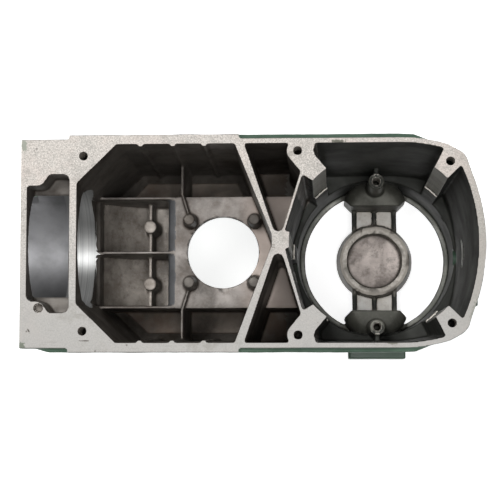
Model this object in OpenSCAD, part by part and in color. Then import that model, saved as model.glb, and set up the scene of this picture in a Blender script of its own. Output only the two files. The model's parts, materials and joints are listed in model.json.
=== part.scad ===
// Gearbox housing of a demolition hammer: one light-alloy casting. It lies with its machined cover face up.
// The length runs along X, with the hammer cylinder at -X and the motor at +X. The origin is on the motor
// axis, at the level of the motor opening's rim.

/* [Housing] */
// Height from the rim of the motor opening to the machined cover face
housing_h = 160; // [150:1:175]
// Depth of the crank chamber's side channels below the cover face
channel_depth = 117; // [105:1:120]
// Thickness of the cast floors
floor_t = 6.5; // [5:0.5:9]
// Half width of the casting below the cover face
body_half_w = 62.4; // [61.5:0.1:66]
// Width of the painted shoulder beside the machined land
shoulder_w = 2.4; // [1.4:0.1:3]
// Height of the machined land above the painted shoulder
land_step = 2; // [1:0.5:4]
// Thickness of the side walls at the cover face
wall_t = 5.5; // [5:0.1:7]
// Inward slope of the cast walls, in millimetres for each millimetre of depth
draft = 0.033; // [0.02:0.001:0.04]

/* [Front block] */
// Distance from the motor axis to the front face
front_x = 206; // [200:1:215]
// Distance from the motor axis to the step in the side walls
block_x = 178.5; // [176:0.5:182]
// Radius of the bore for the hammer cylinder
bore_r = 35.2; // [30:0.1:37]
// Depth of that bore's axis below the cover face
bore_axis_depth = 40; // [38:0.5:44]
// Thickness of the metal round the bore
bore_wall = 9; // [7:0.5:11]
// Reach of the half-round lip under the bore, beyond the front face
lip_len = 11; // [8:0.5:12]
// Thickness of the front wall
front_wall = 3.8; // [3:0.1:6]
// Thickness of the wall between the front pocket and the crank chamber
partition_t = 4.5; // [3.5:0.1:7]
// Depth of the front pocket's ledge below the cover face
pocket_depth = 21; // [16:0.5:24]
// Half width of the front pocket beside the partition
pocket_half_w = 39.6; // [38:0.1:42]
// Half width of the front pocket behind the front wall
pocket_half_w_front = 33; // [31:0.1:35]
// Length of the pocket's wide part
pocket_wide_len = 11; // [9:0.5:14]
// Radius of the blind dowel hole beside the pocket
dowel_r = 2.8; // [2:0.1:3.5]
// Radius of the tapped holes in the front face
front_hole_r = 4.25; // [3.3:0.05:5]
// Half spacing of the front holes across the housing
front_hole_y = 48; // [46:0.5:50]
// Half spacing of the front holes up and down
front_hole_z = 27; // [24:0.5:28]

/* [Crank chamber] */
// Half width of the chamber's left wall between its corner chamfers
chamber_left_half_w = 34.6; // [32:0.1:38]
// Distance from the motor axis to the end of the corner chamfers
chamfer_x = 151; // [148:0.5:155]
// Depth of the raised floor below the cover face
plateau_depth = 70; // [66:0.5:74]
// Thickness of the raised floor
plateau_t = 7; // [5:0.5:9]
// Half width of the raised floor
plateau_half_w = 34.2; // [32:0.1:36]
// Distance from the motor axis to the raised floor's front edge
plateau_x = 128.5; // [125:0.5:130]
// Radius of the crank opening
crank_r = 22; // [20:0.1:23]
// Distance from the motor axis to the crank axis
crank_x = 94.5; // [93:0.5:96]
// Half spacing of the four posts round the crank opening, along the housing
post_dx = 19.7; // [18:0.1:21]
// Half spacing of those posts across the housing
post_dy = 19; // [18:0.1:21]
// Height of those posts above the raised floor
post_h = 14; // [10:0.5:18]
// Radius of a post at its top
post_r = 3.4; // [3.2:0.1:4]
// Radius of the tapped holes that run up into the posts
post_hole_r = 2.1; // [1.6:0.05:2.5]
// Distance from the motor axis to the cross rib with its two posts
cross_x = 142; // [138:0.5:144]
// Half spacing of those two posts
cross_dy = 18; // [15:0.1:22]
// Size of the slope where the crank chamber's walls meet its floor
floor_fillet = 5; // [3:0.5:7]
// Thickness of the floor ribs
rib_t = 1.7; // [1.5:0.1:3]
// Radius of the round ribs on the side walls
wall_rib_r = 1.8; // [1.2:0.1:2.5]

/* [Web] */
// Thickness of the web's two front arms, measured along the housing
front_arm_t = 5.6; // [4:0.1:7]
// Thickness of the web's two rear arms, measured along the housing
rear_arm_t = 2.1; // [1.6:0.1:3.5]

/* [Motor chamber] */
// Radius of the stator seat
stator_r = 52.3; // [51.6:0.1:52.8]
// Depth of the stator's ledge below the cover face
stator_depth = 87; // [80:1:92]
// Width of the stator's ledge
ledge_w = 1.5; // [1:0.1:2.5]
// Radius of the motor opening at the rim
motor_open_r = 45.8; // [44:0.1:47]
// Thickness of the lip round the motor opening
lip_t = 3; // [2:0.5:5]
// Outer radius of the motor housing at the rim
motor_outer_r = 54.5; // [54:0.1:57]
// Radius of the tapped holes for the cover
cover_hole_r = 2.55; // [2:0.05:3.4]
// Depth of those holes
cover_hole_len = 24; // [15:1:30]
// Distance from the motor axis to the stator screw bosses
tube_y = 45.2; // [44:0.1:46]
// Radius of a stator screw boss at its top
tube_r = 4.9; // [4.4:0.1:5.5]
// Radius of a stator screw hole
tube_hole_r = 2.3; // [1.8:0.05:2.8]

/* [Bearing bridge] */
// Radius of the bearing seat in the hub
seat_r = 17.5; // [15:0.1:18.5]
// Depth of the bearing seat
seat_depth = 11; // [9:0.5:11]
// Radius of the hub at its top
hub_r = 22.8; // [22:0.1:24]
// Height of the hub above the rim
hub_h = 14; // [13.5:0.5:18]
// Half width of the bridge arms
arm_half_w = 14.6; // [12:0.1:17]
// Half width of the abutments that carry the bridge
abutment_half_w = 20; // [18:0.1:24]
// Distance from the motor axis to the abutments
abutment_y = 33.5; // [31:0.1:36]

/* [Rear wall] */
// Radius of the cable hole in the rear wall
cable_hole_r = 5.2; // [4:0.1:6]
// Height of the cable hole above the rim
cable_hole_h = 36; // [33:0.5:40]
// Spacing of the two screw holes from the cable hole
clamp_hole_y = 25.3; // [22:0.1:27]
// Radius of those screw holes
clamp_hole_r = 1.65; // [1.2:0.05:2.2]

/* [Hidden] */
$fn = 72;
cut = 1;
alloy = [0.80, 0.78, 0.75];
face_z = housing_h;
shoulder_z = face_z - land_step;
channel_z = face_z - channel_depth;
crank_bottom_z = channel_z - floor_t;
land_half_w = body_half_w - shoulder_w;
chamber_half_w = body_half_w - wall_t;
plateau_z = face_z - plateau_depth;
bore_z = face_z - bore_axis_depth;
stator_z = face_z - stator_depth;
cross_top_z = channel_z + 25;
partition_x = block_x - 0.3;
chamber_x = partition_x - partition_t;
land_end_x = 80.5;
end_x = 59.3;
end_arc_r = 107;
side_arc_r = 97;
side_arc_x = 10;
corner_r = 12;
web_x = 57;
web_y = 1.5;
front_arm_top_x = 83.2;
cell_right_x = 52.6;
front_hole = [-170, body_half_w - 12.2];
mid_hole = [-47.1, body_half_w - 9.9];
rear_hole = [39.6, body_half_w - 16.5];
cover_holes = [front_hole, mid_hole, rear_hole];
hole_depth = 12;
dowel_depth = 4;
rear_x = 40;
seat_z = hub_h - seat_depth;
tube_top_z = stator_z;
tube_foot_z = channel_z - 3;
tube_hole_len = 20;
rib_xs = [137.2, 118.7, 100.6];

// Points along an arc, in the plane, from one angle to another
function arc(x, y, r, a, b, n) =
    [for (i = [0 : n]) let (t = a + (b - a) * i / n) [x + r * cos(t), y + r * sin(t)]];

// Half of the rounded motor end, from the side wall round to the rear point; grow moves it outwards
function end_half(half_w, grow) =
    let (far = end_x + grow,
         side_y = half_w - side_arc_r,
         corner_x = far - corner_r - 8.9,
         corner_y = half_w - corner_r - 5.9)
    concat(
        arc(side_arc_x, side_y, side_arc_r, 90, 73, 6),
        arc(corner_x, corner_y, corner_r, 66, 27, 6),
        arc(far - end_arc_r, 0, end_arc_r, 22, 0, 7));

function flipped(points) = [for (i = [len(points) - 1 : -1 : 0]) [points[i][0], -points[i][1]]];

// The outline of the casting from a given distance in front of the motor axis to the rounded end
module end_outline(start_x, half_w, grow) {
    half = concat([[-start_x, half_w]], end_half(half_w, grow));
    polygon(concat(half, flipped(half)));
}

// A solid that narrows downwards from its top outline, by the casting's draft
module drafted(top_z, height, centre, half_x, half_y, slope = draft) {
    inset = height * slope;
    shrink = [1 - inset / half_x, 1 - inset / half_y];
    translate([centre[0], centre[1], top_z])
        mirror([0, 0, 1])
            linear_extrude(height = height, scale = shrink, slices = 1, $fn = 0)
                translate([-centre[0], -centre[1]])
                    children();
}

module slab(x0, x1, half_w, z0, z1) {
    translate([x0, -half_w, z0]) cube([x1 - x0, 2 * half_w, z1 - z0]);
}

module along_x(x0, x1, z, r) {
    translate([x0, 0, z]) rotate([0, 90, 0]) cylinder(r = r, h = x1 - x0);
}

module both_sides() {
    children();
    mirror([0, 1, 0]) children();
}

// Machined land on the cover side
module land() {
    translate([0, 0, shoulder_z - cut])
        linear_extrude(height = land_step + cut) {
            end_outline(land_end_x, land_half_w, 0);
            translate([-block_x, -body_half_w]) square([block_x - land_end_x, 2 * body_half_w]);
            translate([-front_x, -land_half_w]) square([front_x - block_x + cut, 2 * land_half_w]);
        }
}

// Front block: a half-round saddle under the bore, and the flange that the hammer barrel is bolted to
module front_block() {
    saddle_r = bore_r + bore_wall;
    intersection() {
        along_x(-front_x, -chamber_x, bore_z, saddle_r);
        slab(-front_x, -chamber_x, saddle_r, 0, bore_z);
    }
    slab(-front_x, -chamber_x, saddle_r, bore_z - cut, shoulder_z);
    intersection() {
        along_x(-front_x - lip_len, -front_x + cut, bore_z, bore_r + 4.5);
        slab(-front_x - lip_len, -front_x + cut, saddle_r, 0, bore_z - 19);
    }
    head_h = 14;
    slab(-front_x, -block_x, land_half_w, shoulder_z - head_h, shoulder_z);
    flange_t = 14;
    translate([-front_x + flange_t, 0, 0])
        rotate([0, -90, 0])
            linear_extrude(height = flange_t)
                polygon([[shoulder_z, land_half_w], [bore_z - 30, land_half_w - 1], [bore_z - saddle_r, 34],
                    [bore_z - saddle_r, -34], [bore_z - 30, 1 - land_half_w], [shoulder_z, -land_half_w]]);
}

// Outline of the outer walls: the shoulder runs out beside the motor and leaves the rounded end bare
module wall_outline(start_x) {
    under = 0.2;
    nose = 9;
    half = concat(
        [[side_arc_x, body_half_w], [side_arc_x + 9, body_half_w - 0.5]],
        [for (p = end_half(land_half_w - under, -under)) if (p[0] > side_arc_x + 15) p]);
    polygon(concat(
        [[-start_x, land_half_w - under], [-block_x, land_half_w - under], [-block_x + 0.5, body_half_w]],
        half, flipped(half),
        [[-start_x + nose, -body_half_w], [-start_x, under - land_half_w]]));
}

// Outer walls of the whole casting, narrowing from the shoulder down to the rim
module outer_walls() {
    mid_x = (end_x - front_x) / 2;
    left_x = block_x + 20;
    drafted(shoulder_z, shoulder_z, [mid_x, 0], left_x + mid_x, body_half_w) wall_outline(left_x);
}

// Cross-section of the crank chamber's outside, chamfered along its lower edges, run along the housing
module crank_block() {
    low = 10;
    wide = body_half_w + cut;
    foot = body_half_w - 15;
    translate([-front_x, 0, 0])
        rotate([90, 0, 90])
            linear_extrude(height = front_x - web_x + 19)
                polygon([[-foot, crank_bottom_z], [foot, crank_bottom_z], [wide, crank_bottom_z + low + 3],
                    [wide, face_z], [-wide, face_z], [-wide, crank_bottom_z + low + 3]]);
}

// Ring round the motor opening, flaring out into the walls
module motor_ring() {
    rim_h = 10;
    rise = 24;
    wide_r = body_half_w + 14;
    rotate_extrude()
        polygon(concat(
            [[0, 0], [motor_outer_r, 0], [motor_outer_r, rim_h]],
            [for (p = arc(motor_outer_r + rise, rim_h, rise, 180, 100, 8)) [min(p[0], wide_r), p[1]]],
            [[wide_r, rim_h + rise + 1], [wide_r, face_z], [0, face_z]]));
}

// Outside of the casting below the shoulder
module body() {
    intersection() {
        outer_walls();
        union() {
            crank_block();
            motor_ring();
        }
    }
    both_sides() side_pad();
    rear_pad();
}

// Plain cast pad on the side wall, in line with the motor
module side_pad() {
    pad_half = 17.5;
    pad_h = 32;
    proud = 2.6;
    root = 12;
    translate([-0.5 - pad_half, body_half_w - root, channel_z + 4])
        cube([2 * pad_half, root + proud, pad_h]);
}

// Flat pad round the cable hole in the rear wall
module rear_pad() {
    pad_half = 32;
    hull() {
        translate([50, -pad_half, cable_hole_h - 14]) cube([12.6, 2 * pad_half, 44]);
        translate([48, -pad_half + 6, cable_hole_h - 26]) cube([6, 2 * pad_half - 12, 10]);
    }
}

// Pocket in the front block, open to the cylinder bore
module front_pocket() {
    wide_x = -partition_x - pocket_wide_len;
    r = 3;
    translate([0, 0, face_z - pocket_depth])
        linear_extrude(height = pocket_depth + cut)
            polygon(concat(
                [[-partition_x, -pocket_half_w + r]],
                [[-partition_x, pocket_half_w - r]],
                arc(-partition_x - r, pocket_half_w - r, r, 0, 90, 4),
                arc(wide_x + 0.5, pocket_half_w - 1.5, 1.5, 90, 150, 3),
                arc(wide_x - 8, pocket_half_w_front + 6, 6, -30, -90, 5),
                [[-front_x + front_wall, pocket_half_w_front]],
                [[-front_x + front_wall, -pocket_half_w_front + r]],
                arc(-front_x + front_wall + r, -pocket_half_w_front + r, r, 180, 270, 4),
                arc(wide_x - 8, -pocket_half_w_front - 6, 6, 90, 30, 5),
                arc(wide_x + 0.5, -pocket_half_w + 1.5, 1.5, 210, 270, 3),
                arc(-partition_x - r, -pocket_half_w + r, r, 270, 360, 4)));
}

module crank_plan() {
    crotch_x = web_x + 5;
    polygon([[-chamber_x, chamber_left_half_w], [-chamfer_x, chamber_half_w],
        [-front_arm_top_x, chamber_half_w], [-crotch_x, web_y + 3], [-crotch_x, web_y - 3],
        [-front_arm_top_x, -chamber_half_w], [-chamfer_x, -chamber_half_w],
        [-chamber_x, -chamber_left_half_w]]);
}

// One triangular cell between the web's arms, with a round crotch
module cell_plan() {
    crotch_r = 3;
    left_x = front_arm_top_x - front_arm_t;
    polygon(concat(
        [[-left_x, chamber_half_w], [-cell_right_x, chamber_half_w]],
        arc(mid_hole[0], mid_hole[1], 6.4, 150, 222, 5),
        [[mid_hole[0] + 1.5, mid_hole[1] - 11.9]],
        arc(-web_x - 1.3, web_y + 8, crotch_r, -17, -159, 6)));
}

// Ribs, posts and the raised floor that stand in the crank chamber
module crank_floor() {
    edge = 4.5;
    translate([0, plateau_half_w, 0])
        rotate([90, 0, 0])
            linear_extrude(height = 2 * plateau_half_w)
                polygon([[-plateau_x, crank_bottom_z], [-plateau_x, plateau_z - edge],
                    [-plateau_x + 1, plateau_z - 1.4], [-plateau_x + edge, plateau_z],
                    [-web_x + 8, plateau_z], [-web_x + 8, crank_bottom_z]]);
    both_sides() {
        long_rib(plateau_half_w - rib_t);
        for (x = rib_xs)
            translate([-x, chamber_half_w + 0.2, face_z])
                rotate([180 - atan(draft), 0, 0])
                    cylinder(r = wall_rib_r, h = channel_depth);
        bent_rib();
    }
    long_rib(-rib_t / 2);
    cross_rib();
    for (dx = [-post_dx, post_dx], dy = [-post_dy, post_dy])
        translate([-crank_x + dx, dy, plateau_z - cut])
            cylinder(r1 = post_r + 1.2, r2 = post_r, h = post_h + cut);
    concave_floor();
}

// Rib that runs from the bore's wall to the raised floor
module long_rib(y) {
    translate([-chamber_x, y, crank_bottom_z])
        cube([chamber_x - plateau_x + 4, rib_t, plateau_z - crank_bottom_z]);
}

// The floor rises in a quarter round to the end of the bore
module concave_floor() {
    rise_r = bore_z - bore_r - channel_z - 1;
    difference() {
        slab(-chamber_x - cut, -plateau_x + 2, plateau_half_w, crank_bottom_z, channel_z + rise_r);
        translate([-chamber_x + 1 + rise_r, -plateau_half_w - cut, channel_z + rise_r])
            rotate([-90, 0, 0]) cylinder(r = rise_r, h = 2 * plateau_half_w + 2 * cut);
        slab(-chamber_x + 1 + rise_r, -plateau_x + 3, body_half_w, channel_z, face_z);
    }
}

module cross_rib() {
    slab(-cross_x - 1, -cross_x + 1, plateau_half_w, crank_bottom_z, cross_top_z - 3);
    for (y = [-cross_dy, cross_dy])
        translate([-cross_x, y, crank_bottom_z])
            cylinder(r1 = 5.4, r2 = 4, h = cross_top_z - crank_bottom_z);
}

// Rib from the side wall over the channel to a post
module bent_rib() {
    top = plateau_z + 3;
    bend_y = plateau_half_w + 1;
    near_x = -crank_x - post_dx;
    wall_x = near_x - 5;
    translate([wall_x - rib_t / 2, bend_y, crank_bottom_z])
        cube([rib_t, chamber_half_w - bend_y, top - crank_bottom_z]);
    translate([0, 0, crank_bottom_z])
        linear_extrude(height = top - crank_bottom_z)
            polygon([[wall_x - rib_t / 2, bend_y], [wall_x + rib_t / 2, bend_y],
                [near_x + rib_t / 2, post_dy], [near_x - rib_t / 2, post_dy]]);
}

module crank_space() {
    mid_x = (chamber_x + web_x) / 2;
    half_x = chamber_x - mid_x;
    middle = [-mid_x, 0];
    depth = channel_depth - floor_fillet;
    foot_h = floor_fillet + 0.2;
    inset = depth * draft + 0.15;
    difference() {
        union() {
            drafted(face_z + cut, depth + cut, middle, half_x, chamber_half_w) crank_plan();
            drafted(channel_z + foot_h, foot_h, middle, half_x, chamber_half_w, 1)
                translate(middle)
                    scale([1 - inset / half_x, 1 - inset / chamber_half_w])
                        translate(-middle)
                            crank_plan();
            both_sides()
                drafted(face_z + cut, channel_depth + cut, [-58, 38], 16, 19, draft * 0.6) cell_plan();
            slab(-chamber_x, -chamber_x + 8, chamber_left_half_w - 2, bore_z - bore_r - 2, face_z + cut);
        }
        crank_floor();
    }
}

// Lobes of the motor chamber between the corner bosses, down to the channel floor
module lobe_plan() {
    side = chamber_half_w;
    polygon(concat(
        [[mid_hole[0] + 10.3, side]],
        arc(side_arc_x, side - side_arc_r, side_arc_r, 90, 74.5, 5),
        [[rear_hole[0] - 8.4, side - 12.9], [0, 0], [mid_hole[0] + 16.1, side - 14.3],
            [mid_hole[0] + 9.7, side - 6.7], [mid_hole[0] + 9.1, side - 3.9]]));
}

module rear_lobe_plan() {
    half = concat([[45.7, 43.4]], arc(55 - end_arc_r, 0, end_arc_r, 20.5, 0, 6));
    polygon(concat([[0, 0], [39.2, 37.2]], half, flipped(half), [[39.2, -37.2]]));
}

module web_lobe_plan() {
    polygon([[0, 0], [-38.6, -35.1], [-44.4, -38.6], [-web_x + rear_arm_t + 0.6, -3.4], [-web_x + 6.4, -3.4],
        [-web_x + 6.4, 6.4], [-web_x + rear_arm_t + 0.4, 6.4], [-44.4, 38.6], [-38.6, 35.1]]);
}

module motor_space() {
    depth = channel_depth + 3;
    both_sides() drafted(face_z, depth, [0, 0], end_x, chamber_half_w) lobe_plan();
    drafted(face_z, depth, [0, 0], end_x, chamber_half_w) rear_lobe_plan();
    drafted(face_z, depth, [0, 0], end_x * 4, chamber_half_w * 4) web_lobe_plan();
    translate([0, 0, stator_z]) cylinder(r = stator_r, h = stator_depth + cut);
    bell_r = stator_r - ledge_w;
    translate([0, 0, lip_t]) cylinder(r1 = bell_r - 1.6, r2 = bell_r, h = stator_z - lip_t + 0.01);
    translate([0, 0, -cut]) cylinder(r = motor_open_r, h = lip_t + 2 * cut);
}

// Bridge across the motor opening, with the seat of the armature's rear bearing
module bridge() {
    arm_z = 7;
    difference() {
        union() {
            cylinder(r1 = hub_r + 2.4, r2 = hub_r, h = hub_h);
            both_sides() bridge_arm(arm_z);
        }
        translate([0, 0, seat_z]) cylinder(r = seat_r, h = seat_depth + cut);
        translate([0, 0, hub_h - 1]) cylinder(r1 = seat_r, r2 = seat_r + 1, h = 1.01);
    }
}

module bridge_arm(arm_z) {
    side_t = 2.6;
    reach = abutment_y + 8;
    translate([-arm_half_w, 0, 0]) cube([2 * arm_half_w, reach, arm_z]);
    for (x = [-arm_half_w, arm_half_w - side_t])
        translate([x, hub_r * 0.7, 0]) cube([side_t, reach - hub_r * 0.7, hub_h - 1]);
    translate([-1, hub_r - 1, 0]) cube([2, reach - hub_r, hub_h - 2]);
    abutment();
}

// Rounded mound at the end of a bridge arm, with the stator screw boss on it
module abutment() {
    top_z = tube_foot_z;
    mound_r = 21.5;
    crown_r = 9;
    corner = 4.5;
    intersection() {
        translate([0, abutment_y - 3, 0])
            rotate_extrude()
                polygon(concat(
                    [[0, 0], [mound_r, 0]],
                    arc(mound_r - crown_r, top_z - crown_r, crown_r, 0, 90, 6),
                    [[0, top_z]]));
        linear_extrude(height = top_z + cut)
            polygon([[-abutment_half_w + corner, abutment_y], [abutment_half_w - corner, abutment_y],
                [abutment_half_w, abutment_y + corner], [abutment_half_w, stator_r],
                [-abutment_half_w, stator_r], [-abutment_half_w, abutment_y + corner]]);
        cylinder(r = stator_r, h = housing_h);
    }
    translate([0, tube_y, top_z - cut])
        cylinder(r1 = tube_r + 1, r2 = tube_r, h = tube_top_z - top_z + cut);
    translate([-1.2, tube_y, top_z - 12])
        cube([2.4, chamber_half_w - tube_y, tube_top_z - top_z + 11]);
}

module cover_hole_set() {
    both_sides()
        for (p = cover_holes)
            translate([p[0], p[1], face_z - cover_hole_len])
                cylinder(r = cover_hole_r, h = cover_hole_len + cut);
}

module front_holes() {
    for (y = [-front_hole_y, front_hole_y], dz = [-front_hole_z, front_hole_z])
        translate([-front_x - cut, y, bore_z + dz])
            rotate([0, 90, 0])
                cylinder(r = front_hole_r, h = hole_depth + cut);
}

module rear_hole_at(y, r) {
    translate([rear_x, y, cable_hole_h]) rotate([0, 90, 0]) cylinder(r = r, h = end_x);
}

module gearbox_housing() {
    color(alloy)
        difference() {
            union() {
                difference() {
                    union() {
                        land();
                        front_block();
                        body();
                    }
                    slab(-plateau_x + 6, -motor_outer_r - 3, plateau_half_w - 6,
                        -cut, plateau_z - plateau_t);
                    crank_space();
                    motor_space();
                }
                bridge();
            }
            front_pocket();
            along_x(-front_x - lip_len - cut, -chamber_x + 5, bore_z, bore_r);
            translate([-crank_x, 0, 0]) cylinder(r = crank_r, h = plateau_z + cut);
            for (dx = [-post_dx, post_dx], dy = [-post_dy, post_dy])
                translate([-crank_x + dx, dy, 0]) cylinder(r = post_hole_r, h = plateau_z + post_h - 4);
            for (y = [-cross_dy, cross_dy])
                translate([-cross_x, y, 0]) cylinder(r = post_hole_r, h = cross_top_z - 4);
            cover_hole_set();
            front_holes();
            translate([-front_x + 10.7, -37, face_z - dowel_depth])
                cylinder(r = dowel_r, h = dowel_depth + cut);
            both_sides()
                translate([0, tube_y, tube_top_z - tube_hole_len])
                    cylinder(r = tube_hole_r, h = tube_hole_len + cut);
            rear_hole_at(0, cable_hole_r);
            for (y = [-clamp_hole_y, clamp_hole_y])
                rear_hole_at(y, clamp_hole_r);
        }
}

gearbox_housing();
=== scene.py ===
# Looks of the gearbox housing: one light-alloy casting, machined on its cover side and painted outside.
import bpy
import json
import math
import numpy as np
from mathutils import Matrix, Vector, noise
from mathutils.bvhtree import BVHTree
from mathutils.kdtree import KDTree


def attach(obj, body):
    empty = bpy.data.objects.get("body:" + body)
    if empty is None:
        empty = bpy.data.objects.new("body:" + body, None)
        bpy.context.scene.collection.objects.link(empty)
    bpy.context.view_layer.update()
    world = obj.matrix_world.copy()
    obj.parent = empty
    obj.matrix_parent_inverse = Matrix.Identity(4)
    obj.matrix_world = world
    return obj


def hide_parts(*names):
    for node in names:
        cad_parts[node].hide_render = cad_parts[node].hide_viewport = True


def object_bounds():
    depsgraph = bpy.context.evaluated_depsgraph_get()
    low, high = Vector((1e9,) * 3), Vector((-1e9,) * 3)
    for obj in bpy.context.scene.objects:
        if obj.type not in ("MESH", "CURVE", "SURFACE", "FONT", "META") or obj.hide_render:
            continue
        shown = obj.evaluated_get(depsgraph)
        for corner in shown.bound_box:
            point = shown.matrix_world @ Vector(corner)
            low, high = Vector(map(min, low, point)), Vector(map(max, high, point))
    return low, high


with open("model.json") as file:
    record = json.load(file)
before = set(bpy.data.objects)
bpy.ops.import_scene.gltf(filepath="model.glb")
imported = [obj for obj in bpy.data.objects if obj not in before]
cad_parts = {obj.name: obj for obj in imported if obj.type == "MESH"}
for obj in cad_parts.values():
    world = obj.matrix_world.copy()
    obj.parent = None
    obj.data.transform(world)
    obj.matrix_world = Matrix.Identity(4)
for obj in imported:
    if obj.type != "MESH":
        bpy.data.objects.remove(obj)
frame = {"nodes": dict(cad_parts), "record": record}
cad_lo, cad_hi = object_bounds()

MM = 0.001
NODE = "gearbox_housing"
MOUNTS = {m["name"]: m for m in frame["record"]["mounts"]}

# Places on the casting, in millimetres: _X, _Y and _Z are coordinates, _R is a radius, _HALF_W half a width.
# The machined face on top, and the pads on the outer sides
FACE_Z = MOUNTS["cover_face"]["pos_m"][2] / MM
PAD_Y = 60.0
# Front block: its flat front, the lip before it, the bore and its wide part, and the pocket
FRONT_X = MOUNTS["front_face"]["pos_m"][0] / MM
FRONT_LOW_Z = 60.0
LIP_X = FRONT_X - 5
BORE_Z = MOUNTS["cylinder_bore"]["pos_m"][2] / MM
BORE_R = MOUNTS["cylinder_bore"]["dims"]["r_mm"]
WIDE_BORE_R = BORE_R + 6
BRIGHT_BORE_X = (-190.5, -188.5)
POCKET_X = FRONT_X + 2
POCKET_HALF_W = 41.0
# Crank chamber: its front wall, side channels, floor cells, and the raised floor with its front edge
PARTITION_X = -173.7
CHAMBER_X = -174.0
CHAMBER_HALF_W = 57.5
CHANNEL_Z = 42.8
CHANNEL_TOP_Z = CHANNEL_Z + 8
CELL_X = -127.0
CELL_HALF_W = 33.0
CELL_TOP_Z = 82.0
RAISED_Z = 90.0
RAISED_EDGE_X = (-130.0, -123.5)
WEB_X = -57.0
# Motor chamber: the stator's ledge and seat, the rim, the two mounds, and the bridge's panels and hub
MOTOR_X = -36.0
STATOR_Z = MOUNTS["stator_bolts"]["pos_m"][2] / MM
STATOR_R = 52.3
RIM_Z = 8.0
RIM_R = 40.0
MOUND_HALF_W = 22.0
MOUND_Y = 31.0
MOUND_R = 48.6
PANEL_HALF_W = 12.0
PANEL_Y = (22.0, 34.0)
PANEL_Z = (5.0, 9.0)
HUB_H = 14.0
HUB_R = 26.0
HUB_TOP_R = 23.5
HUB_WORN_R = 20.4
SEAT_R = MOUNTS["bearing_seat"]["dims"]["r_mm"]
# Round holes up to this radius are screw holes, and one reaches this far on each side of its place
SCREW_HOLE_R = 9.0
DRILL = 16.0

# A face belongs to a machined plane when its centre is this near, and a point is drawn back from this far
NEAR = 0.3
SNAP = 0.34
# A face looks up, leans up or stands across when its normal has more than this of the axis
UP = 0.8
RISING = 0.5
SQUARE_ON = 0.9
# Rays that look for the outer skin start this far in front of a face
RAY_GAP = 0.6

# The cast skin: voxel size in millimetres, rounds of smoothing, and triangles at most
VOXEL = 0.6
SMOOTH_STEPS = 3
BULGE_STEPS = 8
TRIANGLES = 188000
# The long and the short waves of the skin: height and length in millimetres
LONG_WAVE = (0.2, 11)
SHORT_WAVE = (0.07, 3)
# An edge with a greater angle than this, in degrees, is drawn sharp
SHARP = 48

# The photograph's camera: width, focal length, the point where upright lines meet and the motor axis at the
# cover face, all in pixels, and the millimetres that a pixel covers there
PHOTO = 500
FOCAL_PX = 1590.0
DOWN_PX = (333.0, 379.0)
MOTOR_PX = (381.1, 241.9)
FACE_SCALE = 0.568


def photo_camera():
    """The photograph's camera, from the point where upright lines meet and from the motor axis."""
    mid = PHOTO / 2
    down = Vector(((DOWN_PX[0] - mid) / FOCAL_PX, (DOWN_PX[1] - mid) / FOCAL_PX, 1)).normalized()
    z = -down
    x = Vector((1, 0, 0))
    x = (x - x.dot(down) * down).normalized()
    y = z.cross(x)
    ray = Vector(((MOTOR_PX[0] - mid) / FOCAL_PX, (MOTOR_PX[1] - mid) / FOCAL_PX, 1))
    reach = FACE_SCALE * FOCAL_PX * z.z / ray.dot(z)
    origin = ray * reach - FACE_Z * z
    place = -Vector((origin.dot(x), origin.dot(y), origin.dot(z))) * MM
    right = Vector((x[0], y[0], z[0]))
    up = -Vector((x[1], y[1], z[1]))
    back = -Vector((x[2], y[2], z[2]))
    data = bpy.data.cameras.new("camera")
    data.sensor_width = 36
    data.lens = data.sensor_width * FOCAL_PX / PHOTO
    data.clip_start = 0.05
    data.clip_end = 50
    cam = bpy.data.objects.new("camera", data)
    turn = Matrix((right, up, back)).transposed().to_4x4()
    cam.matrix_world = Matrix.Translation(place) @ turn
    bpy.context.scene.collection.objects.link(cam)
    bpy.context.scene.camera = cam


photo_camera()


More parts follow.
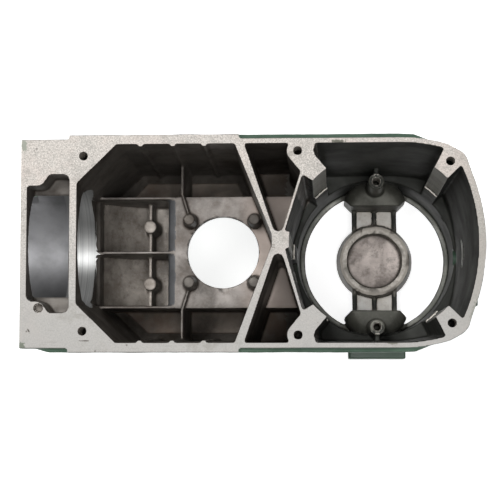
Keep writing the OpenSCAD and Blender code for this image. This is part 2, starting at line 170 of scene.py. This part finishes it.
class Nodes:
    """A material's node tree with short calls for the nodes used here."""

    def __init__(self, name):
        self.mat = bpy.data.materials.new(name)
        self.mat.use_nodes = True
        self.tree = self.mat.node_tree
        self.tree.nodes.clear()
        self.out = self.tree.nodes.new("ShaderNodeOutputMaterial")
        self.place = self.tree.nodes.new("ShaderNodeTexCoord").outputs["Object"]

    def put(self, socket, value):
        if isinstance(value, bpy.types.NodeSocket):
            self.tree.links.new(value, socket)
        elif value is not None:
            socket.default_value = value

    def node(self, kind, **inputs):
        n = self.tree.nodes.new(kind)
        for key, value in inputs.items():
            self.put(n.inputs[key.replace("_", " ")], value)
        return n

    def moved(self, scale=(1, 1, 1), offset=(0, 0, 0), turn=(0, 0, 0)):
        n = self.node("ShaderNodeMapping", Vector=self.place)
        n.inputs["Scale"].default_value = scale
        n.inputs["Location"].default_value = offset
        n.inputs["Rotation"].default_value = turn
        return n.outputs[0]

    def noise(self, scale, detail=3, rough=0.55, warp=0.0, at=None):
        n = self.node("ShaderNodeTexNoise", Vector=at or self.place, Scale=scale, Detail=detail,
                      Roughness=rough, Distortion=warp)
        return n.outputs["Fac"]

    def cells(self, scale):
        return self.node("ShaderNodeTexVoronoi", Vector=self.place, Scale=scale).outputs["Distance"]

    def ramp(self, value, low, high, out_low=0.0, out_high=1.0):
        n = self.node("ShaderNodeMapRange", Value=value)
        n.interpolation_type = "SMOOTHSTEP"
        for key, number in (("From Min", low), ("From Max", high), ("To Min", out_low), ("To Max", out_high)):
            n.inputs[key].default_value = number
        return n.outputs[0]

    def math(self, kind, a, b=None):
        n = self.tree.nodes.new("ShaderNodeMath")
        n.operation = kind
        self.put(n.inputs[0], a)
        self.put(n.inputs[1], b)
        return n.outputs[0]

    def mix(self, fac, a, b):
        n = self.tree.nodes.new("ShaderNodeMix")
        n.data_type = "RGBA"
        self.put(n.inputs["Factor"], fac)
        self.put(n.inputs["A"], colour(a) if isinstance(a, tuple) else a)
        self.put(n.inputs["B"], colour(b) if isinstance(b, tuple) else b)
        return n.outputs["Result"]

    def xyz(self):
        return self.node("ShaderNodeSeparateXYZ", Vector=self.place).outputs

    def bulge(self):
        """The mesh's own measure of outward (above 0) and inward (below 0) corners, in millimetres."""
        n = self.tree.nodes.new("ShaderNodeAttribute")
        n.attribute_name = "bulge"
        return n.outputs["Fac"]

    def spot(self, x, y, half_x, half_y, turn):
        """1 inside a ragged ellipse on the cover face and 0 outside; millimetres and degrees."""
        m = self.node("ShaderNodeMapping", Vector=self.place)
        m.vector_type = "TEXTURE"
        m.inputs["Location"].default_value = (x * MM, y * MM, 0)
        m.inputs["Rotation"].default_value = (0, 0, math.radians(turn))
        m.inputs["Scale"].default_value = (half_x * MM, half_y * MM, 10)
        ragged = self.ramp(self.noise(800, detail=4), 0.3, 0.7, -0.35, 0.35)
        return self.ramp(self.math("ADD", self.length(m.outputs[0]), ragged), 0.75, 1.1, 1, 0)

    def vector(self, kind, value):
        n = self.tree.nodes.new("ShaderNodeVectorMath")
        n.operation = kind
        self.put(n.inputs[0], value)
        return n.outputs

    def length(self, value):
        return self.vector("LENGTH", value)["Value"]

    def bump(self, height, depth, strength, normal=None):
        n = self.node("ShaderNodeBump", Height=height, Distance=depth, Strength=strength, Normal=normal)
        return n.outputs[0]

    def finish(self, **inputs):
        shader = self.node("ShaderNodeBsdfPrincipled", **inputs)
        self.tree.links.new(shader.outputs[0], self.out.inputs["Surface"])
        return self.mat


def colour(rgb):
    """An sRGB colour, 0 to 255, as the linear values that a socket takes."""
    lin = [c / 255 / 12.92 if c / 255 <= 0.04045 else ((c / 255 + 0.055) / 1.055) ** 2.4 for c in rgb]
    return (*lin, 1.0)


# In the materials, lengths are metres, noise scales are waves per metre and colours are sRGB, 0 to 255.
# Wear on the cover face as ragged ellipses: x, y, half length and half width in millimetres, turn, colour
NICKS = [
    (-23.9, 57.7, 4.6, 0.9, 0, (96, 95, 84)),
    (5.9, -56.9, 3.8, 1.0, 0, (118, 116, 106)),
    (-169.0, -55.7, 3.5, 0.35, 0, (88, 82, 76)),
    (-200.6, -50.0, 1.5, 0.45, -60, (84, 78, 72)),
    (-61.1, -1.5, 1.3, 0.35, 0, (130, 124, 118)),
    (-61.1, -2.7, 1.3, 0.35, 0, (130, 124, 118)),
    (-204.4, 56.5, 1.6, 4.0, 0, (146, 149, 138)),
    (-204.6, -58.6, 2.0, 2.4, 0, (112, 118, 105)),
    (54.0, -38.0, 3.0, 9.0, -20, (142, 143, 134)),
]


def machined_face():
    """Milled face: fine irregular grain, warm patches, small dark pits, nicks and a few scratches."""
    n = Nodes("machined_face")
    place = n.xyz()
    grain = n.noise(2600, detail=5, rough=0.8)
    speck = n.noise(1050, detail=8, rough=0.85, warp=0.3)
    patch = n.noise(42, detail=5, rough=0.65)
    cloud = n.noise(130, detail=9, rough=0.78, at=n.moved(offset=(0.7, 0.5, 0.2)))
    base = n.mix(n.ramp(speck, 0.38, 0.6), (138, 134, 128), (226, 220, 213))
    base = n.mix(n.ramp(grain, 0.46, 0.62, 0, 0.35), base, (146, 141, 135))
    base = n.mix(n.ramp(patch, 0.42, 0.68, 0, 0.35), base, (212, 196, 187))
    base = n.mix(n.ramp(cloud, 0.5, 0.66, 0, 0.45), base, (142, 140, 134))
    base = n.mix(n.ramp(place["Y"], -0.055, 0.045, 0.75, 0), base, (164, 163, 160))
    stain = n.noise(75, detail=6, rough=0.75, at=n.moved(offset=(0.3, 0.2, 0.1)))
    base = n.mix(n.ramp(stain, 0.52, 0.68, 0, 0.5), base, (138, 134, 126))
    spots = n.math("MULTIPLY", n.ramp(n.cells(260), 0.1, 0.2, 1, 0), n.ramp(n.noise(110), 0.58, 0.64))
    base = n.mix(n.math("MULTIPLY", spots, 0.7), base, (88, 82, 74))
    scratch = n.noise(1, detail=3, at=n.moved(scale=(55, 1500, 55), turn=(0, 0, 0.5)))
    base = n.mix(n.ramp(scratch, 0.66, 0.72, 0, 0.5), base, (112, 107, 100))
    base = n.mix(n.ramp(place["X"], 0.035, 0.062, 0, 0.45), base, (150, 147, 138))
    for x, y, half_x, half_y, turn, shade in NICKS:
        base = n.mix(n.spot(x, y, half_x, half_y, turn), base, shade)
    height = n.math("SUBTRACT", n.math("ADD", grain, n.math("MULTIPLY", speck, 0.7)), spots)
    return n.finish(Base_Color=base, Metallic=0.25, Roughness=n.ramp(speck, 0.3, 0.7, 0.48, 0.62),
                    Normal=n.bump(height, 0.00006, 0.5))


def cast_alloy(name, light, dark, film, film_share, metal=0.4, spots=0.2, painted_light_under_web=None, dull=0.0):
    """As-cast alloy: orange-peel skin, flow marks, a film of old grease, painted shade in inward corners, and
    outward edges lighter from rubbing and a painted highlight.
    """
    n = Nodes(name)
    skin = n.noise(520, detail=5, rough=0.68)
    flow = n.noise(40, detail=5, warp=0.5)
    base = n.mix(n.ramp(flow, 0.32, 0.68), light, dark)
    base = n.mix(n.ramp(skin, 0.42, 0.72, 0, 0.4), base, light)
    grease = n.noise(24, detail=6, rough=0.68, at=n.moved(offset=(0.4, 0.1, 0.7)))
    base = n.mix(n.ramp(grease, 0.46, 0.64, 0, film_share), base, film)
    blots = n.noise(190, detail=7, rough=0.75)
    base = n.mix(n.ramp(blots, 0.47, 0.66, 0, spots), base, film)
    # Painted light: the floor lighter from x = -88 mm towards the web, where it lies in shade
    if painted_light_under_web:
        base = n.mix(n.ramp(n.xyz()["X"], -0.088, -0.07, 0, 0.75), base, painted_light_under_web)
    bulge = n.bulge()
    # Painted shade: inward corners darkened towards the grease colour, over the grease that gathers there
    base = n.mix(n.ramp(bulge, -0.3, -0.05, 0.6, 0), base, film)
    # Outward edges lighter: partly rubbed metal, partly a painted highlight
    rubbed_and_lit = n.math("ADD", bulge, n.ramp(skin, 0.3, 0.7, -0.1, 0.1))
    base = n.mix(n.ramp(rubbed_and_lit, 0.24, 0.55, 0, 0.5), base, (158, 152, 145))
    height = n.math("ADD", skin, n.math("MULTIPLY", flow, 0.8))
    rough = n.ramp(flow, 0.3, 0.7, 0.44 + dull, 0.6 + dull)
    return n.finish(Base_Color=base, Metallic=metal, Roughness=rough, Normal=n.bump(height, 0.0002, 0.5))


def turned(name, light, dark, film, turn_scale, worn_from=None):
    """Turned surface with fine tool lines. Outside the radius worn_from, if given, a film covers it."""
    n = Nodes(name)
    lines = n.noise(1, detail=3, at=n.moved(scale=turn_scale))
    base = n.mix(n.ramp(lines, 0.35, 0.65), light, dark)
    base = n.mix(n.ramp(n.noise(38, detail=5, rough=0.65), 0.42, 0.68, 0, 0.6), base, film)
    base = n.mix(n.ramp(n.noise(700, detail=4, rough=0.7), 0.55, 0.72, 0, 0.35), base, film)
    if worn_from:
        radius = n.length(n.moved(scale=(1, 1, 0)))
        base = n.mix(n.ramp(radius, worn_from * MM, (worn_from + 1) * MM, 0, 0.85), base, film)
    return n.finish(Base_Color=base, Metallic=0.4, Roughness=0.43, Normal=n.bump(lines, 0.00002, 0.25))


def turned_bore():
    """The cylinder's bore, dull at the pocket and bright at the chamber end, shaded as a true round, with
    painted shade on its -Y side at the pocket.
    """
    n = Nodes("turned_bore")
    place = n.xyz()
    at_chamber = n.ramp(place["X"], BRIGHT_BORE_X[0] * MM, BRIGHT_BORE_X[1] * MM)
    dull = n.mix(n.ramp(n.noise(35, detail=5), 0.38, 0.68), (148, 148, 150), (112, 112, 113))
    # Painted shade: the bore at the pocket darker towards its -Y side
    dull = n.mix(n.ramp(place["Y"], -0.034, 0.0, 1, 0), dull, (66, 66, 67))
    lines = n.noise(1, detail=3, at=n.moved(scale=(2600, 8, 8)))
    bright = n.mix(n.ramp(lines, 0.35, 0.65), (178, 178, 177), (142, 143, 142))
    to_axis = n.moved(scale=(0, -1, -1), offset=(0, 0, BORE_Z * MM))
    inward = n.vector("NORMALIZE", to_axis)["Vector"]
    return n.finish(Base_Color=n.mix(at_chamber, dull, bright), Metallic=n.ramp(at_chamber, 0, 1, 0.4, 0.65),
                    Roughness=n.ramp(at_chamber, 0, 1, 0.52, 0.38),
                    Normal=n.bump(lines, 0.00002, 0.2, inward))


def painted_outside():
    """Dark green machine paint over cast skin, worn through to the metal on edges and in small chips."""
    n = Nodes("painted_outside")
    skin = n.noise(300, detail=3)
    patch = n.noise(40, detail=4)
    base = n.mix(n.ramp(patch, 0.3, 0.7), (56, 78, 63), (76, 100, 83))
    chips = n.ramp(n.noise(120, detail=6, rough=0.7), 0.68, 0.71)
    worn = n.ramp(n.math("ADD", n.bulge(), n.ramp(skin, 0.3, 0.7, -0.15, 0.15)), 0.38, 0.5)
    bare = n.math("MAXIMUM", chips, worn)
    base = n.mix(bare, base, (152, 150, 142))
    return n.finish(Base_Color=base, Metallic=n.math("MULTIPLY", bare, 0.6),
                    Roughness=n.ramp(patch, 0.3, 0.7, 0.38, 0.5), Normal=n.bump(skin, 0.0002, 0.35))


def hole_wall():
    """Tapped and drilled holes: threads as fine light and dark rings in the colour, a painted highlight and
    shade on the thread flanks, with a bump for their relief.
    """
    n = Nodes("hole_wall")
    pitch = 0.8 * MM
    ring = n.math("SINE", n.math("MULTIPLY", n.xyz()["Z"], 2 * math.pi / pitch))
    # Painted highlight and shade: light and dark thread rings in the colour
    base = n.mix(n.ramp(ring, -1, 1), (120, 114, 108), (214, 208, 199))
    return n.finish(Base_Color=base, Metallic=0.3, Roughness=0.42, Normal=n.bump(ring, 0.0002, 0.5))


MATERIALS = {
    "face": machined_face(),
    "cast": cast_alloy("cast_inside", (112, 107, 101), (84, 79, 74), (58, 49, 40), 0.75),
    "channel": cast_alloy("cast_channel_floor", (88, 79, 70), (62, 55, 48), (72, 52, 36), 0.7),
    "cell": cast_alloy("cast_floor", (200, 192, 183), (146, 138, 130), (94, 84, 74), 0.6, spots=0.4),
    "motor": cast_alloy("cast_motor_side", (60, 61, 56), (50, 51, 47), (40, 42, 35), 0.4, 0.1, dull=0.16),
    "mound": cast_alloy("cast_mound", (110, 109, 101), (88, 88, 81), (60, 60, 51), 0.5),
    "rim": cast_alloy("cast_rim", (150, 150, 143), (116, 117, 111), (82, 84, 74), 0.5),
    # The raised floor gets painted light under the web
    "raised": cast_alloy("cast_raised_floor", (146, 140, 135), (102, 97, 92), (86, 75, 66), 0.45, spots=0.4,
                         painted_light_under_web=(176, 162, 153)),
    # The raised floor's sloping front edge: a darker, bluish copy of its alloy, painted shade with a cool
    # painted reflection
    "raised_edge": cast_alloy("cast_raised_floor_edge_painted_shade", (100, 101, 103), (82, 83, 85), (60, 59, 58), 0.3),
    "hub": cast_alloy("cast_hub", (124, 119, 111), (90, 88, 81), (64, 64, 56), 0.5),
    "hub_top": turned("turned_hub_top", (178, 172, 164), (150, 145, 137), (132, 126, 118), (500, 500, 20),
                      worn_from=HUB_WORN_R),
    "disc": cast_alloy("cast_hub_disc", (214, 202, 195), (132, 122, 116), (92, 84, 77), 0.5, 0.25, spots=0.5),
    # The bridge's panels are bare light metal deep in the well; their near-white colour is partly painted
    # light, against the shade that falls there
    "panel": cast_alloy("cast_bridge_panel_painted_light", (255, 253, 248), (240, 234, 225), (170, 158, 142), 0.3, 0.0,
                        spots=0.3),
    "bore": turned_bore(),
    "seat": turned("turned_stator_seat", (158, 158, 150), (124, 124, 117), (90, 91, 83), (20, 20, 1500)),
    "ledge": turned("turned_ledge", (206, 201, 192), (176, 172, 163), (120, 118, 108), (500, 500, 20)),
    "paint": painted_outside(),
    "hole": hole_wall(),
}
INDEX = {key: i for i, key in enumerate(MATERIALS)}


def read_points(mesh):
    flat = np.empty(len(mesh.vertices) * 3, np.float32)
    mesh.vertices.foreach_get("co", flat)
    return flat.reshape(-1, 3).astype(np.float64)


def write_points(mesh, points):
    mesh.vertices.foreach_set("co", points.astype(np.float32).ravel())
    mesh.update()


def point_normals(mesh):
    flat = np.empty(len(mesh.vertices) * 3, np.float32)
    mesh.vertices.foreach_get("normal", flat)
    return flat.reshape(-1, 3)


def edge_ends(mesh):
    flat = np.empty(len(mesh.edges) * 2, np.int32)
    mesh.edges.foreach_get("vertices", flat)
    return flat.reshape(-1, 2).T


def neighbour_mean(points, a, b, degree):
    """For each point, the mean place of the points that an edge joins it to."""
    total = np.empty_like(points)
    for axis in range(3):
        p = points[:, axis]
        total[:, axis] = np.bincount(a, p[b], len(p)) + np.bincount(b, p[a], len(p))
    return total / degree[:, None]


def with_modifiers(mesh, *settings):
    """The mesh that a row of modifiers makes of another mesh."""
    obj = bpy.data.objects.new("work", mesh)
    bpy.context.scene.collection.objects.link(obj)
    for kind, values in settings:
        mod = obj.modifiers.new(kind, kind)
        for key, value in values.items():
            setattr(mod, key, value)
    graph = bpy.context.evaluated_depsgraph_get()
    made = bpy.data.meshes.new_from_object(obj.evaluated_get(graph))
    bpy.data.objects.remove(obj)
    return made


def onto_circle(points, mask, u, v, centre, radius):
    """Moves the masked points straight out or in onto a circle in the plane of axes u and v."""
    du = points[mask, u] - centre[0]
    dv = points[mask, v] - centre[1]
    grow = radius / np.hypot(du, dv)
    points[mask, u] = centre[0] + du * grow
    points[mask, v] = centre[1] + dv * grow


def round_holes():
    """The round holes that the record names: axis number, centre, radius and both ends, in millimetres."""
    rows = []
    for mount in MOUNTS.values():
        axis = max(range(3), key=lambda i: abs(mount["axis"][i]))
        place = [c / MM for c in mount["pos_m"]]
        middle = place.pop(axis)
        dims = mount["dims"]
        if mount["kind"] == "bore":
            half = dims["length_mm"] / 2 + SNAP
            rows.append((axis, tuple(place), dims["r_mm"], middle - half, middle + half))
        if mount["kind"] == "bolt_pattern":
            wide = dims.get("spacing_x_mm", 0) / 2
            tall = dims.get("spacing_y_mm", 0) / 2
            for du, dv in {(a * wide, b * tall) for a in (-1, 1) for b in (-1, 1)}:
                centre = (place[0] + du, place[1] + dv)
                rows.append((axis, centre, dims["hole_r_mm"], middle - DRILL, middle + DRILL))
    return sorted(rows)


def round_mask(points, axis, centre, radius, low, high):
    u, v = [i for i in range(3) if i != axis]
    off = np.hypot(points[:, u] - centre[0], points[:, v] - centre[1]) - radius
    along = points[:, axis]
    return (np.abs(off) < SNAP) & (along > low - SNAP) & (along < high + SNAP)


def near(values, level, reach=NEAR):
    return np.abs(values - level) < reach


def between(values, low, high):
    return (values > low) & (values < high)


def machined_places(points):
    """For each machined surface, the points that lie on it and where they belong."""
    x, y, z = points.T
    r = np.hypot(x, y)
    rounds = [(round_mask(points, 2, (0, 0), STATOR_R, STATOR_Z, FACE_Z), 0, 1, (0, 0), STATOR_R)]
    for axis, centre, radius, low, high in round_holes():
        u, v = [i for i in range(3) if i != axis]
        rounds.append((round_mask(points, axis, centre, radius, low, high), u, v, centre, radius))
    planes = [
        (near(z, FACE_Z, SNAP), 2, FACE_Z),
        (near(z, STATOR_Z, SNAP) & between(r, STATOR_R - 4, STATOR_R + 0.5), 2, STATOR_Z),
        (near(z, HUB_H, SNAP) & (r < HUB_TOP_R), 2, HUB_H),
        (near(z, 0.0, SNAP), 2, 0.0),
        (near(x, FRONT_X, SNAP) & (z > FRONT_LOW_Z), 0, FRONT_X),
    ]
    return rounds, planes


def put_back(points, rounds, planes):
    """Puts the points of the machined surfaces exactly where they belong."""
    for mask, u, v, centre, radius in rounds:
        onto_circle(points, mask, u, v, centre, radius)
    for mask, axis, level in planes:
        points[mask, axis] = level


def machined_mask(points):
    rounds, planes = machined_places(points)
    mask = np.zeros(len(points), bool)
    for row in rounds + planes:
        mask |= row[0]
    return mask


def uneven(mesh):
    """The slight waves of a cast surface, on everything that isn't machined, kept inside the CAD box."""
    points = read_points(mesh) / MM
    normal = point_normals(mesh)
    for i in np.nonzero(~machined_mask(points))[0]:
        p = Vector(points[i])
        wave = sum(height * noise.noise(p / length) for height, length in (LONG_WAVE, SHORT_WAVE))
        points[i] += normal[i] * wave
    low = np.array(cad_lo) / MM
    high = np.array(cad_hi) / MM
    write_points(mesh, np.clip(points, low, high) * MM)


def carry_bulge(bulge, points, coarse):
    """Gives each point of the coarse mesh the bulge of the nearest fine point."""
    tree = KDTree(len(points))
    for i, p in enumerate(points):
        tree.insert(p, i)
    tree.balance()
    picked = np.array([tree.find(p)[1] for p in read_points(coarse) / MM])
    layer = coarse.attributes.new("bulge", "FLOAT", "POINT")
    layer.data.foreach_set("value", bulge[picked].astype(np.float32))


def cast_skin(node):
    """The housing with its cast edges and corners rounded and its machined surfaces sharp."""
    fine = with_modifiers(node.data.copy(), ("WELD", {"merge_threshold": 0.00001}),
                          ("REMESH", {"mode": "VOXEL", "voxel_size": VOXEL * MM}))
    points = read_points(fine) / MM
    a, b = edge_ends(fine)
    degree = np.bincount(a, minlength=len(points)) + np.bincount(b, minlength=len(points))
    rounds, planes = machined_places(points)
    for step in range(SMOOTH_STEPS):
        points += 0.5 * (neighbour_mean(points, a, b, degree) - points)
        put_back(points, rounds, planes)
    wide = points.copy()
    for step in range(BULGE_STEPS):
        wide += 0.5 * (neighbour_mean(wide, a, b, degree) - wide)
    write_points(fine, points * MM)
    bulge = np.einsum("ij,ij->i", points - wide, point_normals(fine))
    uneven(fine)
    points = read_points(fine) / MM
    ratio = TRIANGLES / 2 / len(fine.polygons)
    coarse = with_modifiers(fine, ("DECIMATE", {"ratio": ratio}))
    carry_bulge(bulge, points, coarse)
    return coarse


def faces_of(mesh):
    count = len(mesh.polygons)
    centre = np.empty(count * 3, np.float32)
    normal = np.empty(count * 3, np.float32)
    mesh.polygons.foreach_get("center", centre)
    mesh.polygons.foreach_get("normal", normal)
    return centre.reshape(-1, 3) / MM, normal.reshape(-1, 3)


def seen_outside(tree, centre, normal):
    """True where nothing of the casting stands in front of a face, straight out and level."""
    start = Vector(centre * MM + normal * RAY_GAP * MM)
    level = Vector((normal[0], normal[1], min(normal[2], 0)))
    if level.length < 0.05:
        return False
    free = tree.ray_cast(start, level.normalized())[0] is None
    return free and tree.ray_cast(start, Vector(normal))[0] is None


def painted_faces(node, centre, normal, tested):
    """The faces of the outer skin. Only the tested ones are looked at with rays."""
    x, y, z = centre.T
    nz = normal[:, 2]
    aside = np.abs(y)
    tree = BVHTree.FromPolygons([v.co for v in node.data.vertices], [p.vertices for p in node.data.polygons])
    outside = np.zeros(len(x), bool)
    for i in np.nonzero(tested)[0]:
        outside[i] = seen_outside(tree, centre[i], normal[i])
    outside |= (nz > RISING) & between(z, FACE_Z - 3, FACE_Z - 0.5)
    outside |= (nz > RISING) & (aside > PAD_Y) & (z < FACE_Z - 3)
    in_chamber = between(x, CHAMBER_X, WEB_X) & (aside < CHAMBER_HALF_W) & (z > CHANNEL_Z) & (nz > -RISING)
    in_pocket = between(x, POCKET_X, CHAMBER_X) & (aside < POCKET_HALF_W)
    in_pocket &= (z > BORE_Z) | (np.hypot(y, z - BORE_Z) < BORE_R + 1)
    on_step = (nz > RISING) & (x < CHAMBER_X) & (aside < POCKET_HALF_W) & between(z, BORE_Z - 4, FACE_Z - 4)
    return outside & ~(in_chamber | in_pocket | on_step)


def pick_cast(pick, centre, normal):
    """Sets the finish of the faces as cast. A later line goes over an earlier one."""
    x, y, z = centre.T
    nx = normal[:, 0]
    nz = normal[:, 2]
    up = nz > UP
    aside = np.abs(y)
    r = np.hypot(x, y)
    pick[(x > MOTOR_X) | ((r < STATOR_R + 3) & (z < FACE_Z) & (x > WEB_X))] = INDEX["motor"]
    pick[up & near(z, RAISED_Z, 3) & (x < WEB_X + 12)] = INDEX["raised"]
    # The sloping front edge of the raised floor, which carries the painted shade
    pick[between(x, *RAISED_EDGE_X) & (nx < -0.15) & (aside < CELL_HALF_W + 1.2)] = INDEX["raised_edge"]
    pick[up & (z < CHANNEL_TOP_Z) & (x < WEB_X)] = INDEX["channel"]
    pick[(nz > 0.3) & (x < CELL_X) & (aside < CELL_HALF_W) & (z < CELL_TOP_Z)] = INDEX["cell"]
    pick[up & (z < RIM_Z) & between(r, RIM_R, STATOR_R + 2)] = INDEX["rim"]
    pick[(np.abs(x) < MOUND_HALF_W) & (aside > MOUND_Y) & (r < MOUND_R) & (z < STATOR_Z)] = INDEX["mound"]
    pick[near(r, STATOR_R, 0.4) & (z > STATOR_Z + NEAR) & (np.abs(nz) < 0.3)] = INDEX["seat"]
    pick[(r < HUB_R) & (z < HUB_H + 1)] = INDEX["hub"]
    pick[up & (r < SEAT_R) & (z < HUB_H)] = INDEX["disc"]
    on_panel = (np.abs(x) < PANEL_HALF_W) & between(aside, *PANEL_Y) & between(z, *PANEL_Z)
    pick[up & on_panel] = INDEX["panel"]


def pick_machined(pick, centre, normal):
    """Sets the finish of the bored, turned, drilled and milled faces."""
    x, y, z = centre.T
    nx, ny, nz = normal.T
    up = nz > UP
    r = np.hypot(x, y)
    bore = np.hypot(y, z - BORE_Z)
    to_axis = -(ny * y + nz * (z - BORE_Z))
    in_bore = between(bore, BORE_R - 0.6, np.where(z < BORE_Z, WIDE_BORE_R, BORE_R + 0.6))
    in_bore &= (x < PARTITION_X + 0.4) & (z < FACE_Z - 1) & (to_axis > 0.3 * bore)
    pick[in_bore] = INDEX["bore"]
    pick[up & near(z, STATOR_Z) & between(r, STATOR_R - 3, STATOR_R + 0.3)] = INDEX["ledge"]
    pick[up & near(z, HUB_H) & (r < HUB_TOP_R)] = INDEX["hub_top"]
    for axis, middle, radius, low, high in round_holes():
        if radius < SCREW_HOLE_R:
            in_rear_wall = axis == 0 and high > 0
            finish = "paint" if in_rear_wall else "hole"
            pick[round_mask(centre, axis, middle, radius, low, high)] = INDEX[finish]
    pick[up & (z > FACE_Z - NEAR)] = INDEX["face"]
    pick[(nx < -SQUARE_ON) & between(x, FRONT_X - NEAR, FRONT_X + NEAR)] = INDEX["face"]
    pick[(nx < -SQUARE_ON) & (x < LIP_X)] = INDEX["face"]
    pick[(nz < -SQUARE_ON) & (z < NEAR)] = INDEX["face"]


def sort_faces(mesh, node):
    """Gives each face the finish of its place on the casting, and returns them as numbers."""
    centre, normal = faces_of(mesh)
    pick = np.full(len(centre), INDEX["cast"])
    pick_cast(pick, centre, normal)
    tested = (pick != INDEX["disc"]) & (centre[:, 2] < FACE_Z - NEAR)
    pick[painted_faces(node, centre, normal, tested)] = INDEX["paint"]
    pick_machined(pick, centre, normal)
    mesh.materials.clear()
    for mat in MATERIALS.values():
        mesh.materials.append(mat)
    mesh.polygons.foreach_set("material_index", pick.astype(np.int32))
    mesh.update()
    return pick


def housing_piece():
    """The one visible piece. Milled faces are shaded flat, so that their rounded edges don't show on them."""
    node = frame["nodes"][NODE]
    mesh = cast_skin(node)
    pick = sort_faces(mesh, node)
    mesh.shade_smooth()
    mesh.set_sharp_from_angle(angle=math.radians(SHARP))
    level = np.abs(faces_of(mesh)[1]).max(axis=1) > 0.9999
    mesh.polygons.foreach_set("use_smooth", ~(level & (pick == INDEX["face"])))
    piece = bpy.data.objects.new("housing_casting", mesh)
    bpy.context.scene.collection.objects.link(piece)
    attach(piece, "root")
    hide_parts(NODE)


housing_piece()


# The studio in metres, watts and strengths, where a strength of 1 is white
FLOOR_HALF = 6.0
FLOOR_GAP = 0.0005
FLOOR_GREY = 0.86
FLOOR_GLOW = 0.75
WORLD_LIGHT = 0.2
WORLD_SEEN = 1.0
LAMP_SIDE = 0.8
LAMP_AIM = (-0.05, 0, 0.1)
LAMPS = [
    ("key", (-0.6, 0.5, 1.85), 20),
    ("top", (0.22, -0.34, 2.0), 13),
]


def pale_floor():
    """A wide floor that takes the shadow and looks white to the camera and in reflections."""
    mesh = bpy.data.meshes.new("floor")
    corners = [(-1, -1), (1, -1), (1, 1), (-1, 1)]
    mesh.from_pydata([(a * FLOOR_HALF, b * FLOOR_HALF, 0) for a, b in corners], [], [(0, 1, 2, 3)])
    floor = bpy.data.objects.new("floor", mesh)
    floor.location.z = cad_lo.z - FLOOR_GAP
    bpy.context.scene.collection.objects.link(floor)
    n = Nodes("floor")
    lit = n.node("ShaderNodeBsdfDiffuse", Color=(FLOOR_GREY, FLOOR_GREY, FLOOR_GREY, 1))
    glow = n.node("ShaderNodeEmission", Color=(1, 1, 1, 1))
    path = n.tree.nodes.new("ShaderNodeLightPath").outputs
    seen = n.math("MAXIMUM", path["Is Camera Ray"], path["Is Transmission Ray"])
    seen = n.math("MAXIMUM", seen, path["Is Glossy Ray"])
    n.put(glow.inputs["Strength"], n.math("MULTIPLY", seen, FLOOR_GLOW))
    both = n.tree.nodes.new("ShaderNodeAddShader")
    n.tree.links.new(lit.outputs[0], both.inputs[0])
    n.tree.links.new(glow.outputs[0], both.inputs[1])
    n.tree.links.new(both.outputs[0], n.out.inputs["Surface"])
    mesh.materials.append(n.mat)


def lamp(name, place, power):
    data = bpy.data.lights.new(name, "AREA")
    data.shape = "RECTANGLE"
    data.size = LAMP_SIDE
    data.size_y = LAMP_SIDE
    data.energy = power
    obj = bpy.data.objects.new(name, data)
    obj.location = place
    obj.rotation_mode = "QUATERNION"
    obj.rotation_quaternion = (Vector(LAMP_AIM) - Vector(place)).to_track_quat("-Z", "Y")
    bpy.context.scene.collection.objects.link(obj)


def studio():
    """A dim even world that looks white to the camera, and two soft lamps."""
    world = bpy.data.worlds.new("world")
    bpy.context.scene.world = world
    world.use_nodes = True
    tree = world.node_tree
    back = tree.nodes["Background"]
    back.inputs["Color"].default_value = (1, 1, 1, 1)
    path = tree.nodes.new("ShaderNodeLightPath").outputs
    seen = tree.nodes.new("ShaderNodeMath")
    seen.operation = "MAXIMUM"
    tree.links.new(path["Is Camera Ray"], seen.inputs[0])
    tree.links.new(path["Is Transmission Ray"], seen.inputs[1])
    level = tree.nodes.new("ShaderNodeMapRange")
    tree.links.new(seen.outputs[0], level.inputs["Value"])
    level.inputs["To Min"].default_value = WORLD_LIGHT
    level.inputs["To Max"].default_value = WORLD_SEEN
    tree.links.new(level.outputs[0], back.inputs["Strength"])
    for name, place, power in LAMPS:
        lamp(name, place, power)


pale_floor()
studio()

bpy.context.scene.view_settings.view_transform = "Standard"
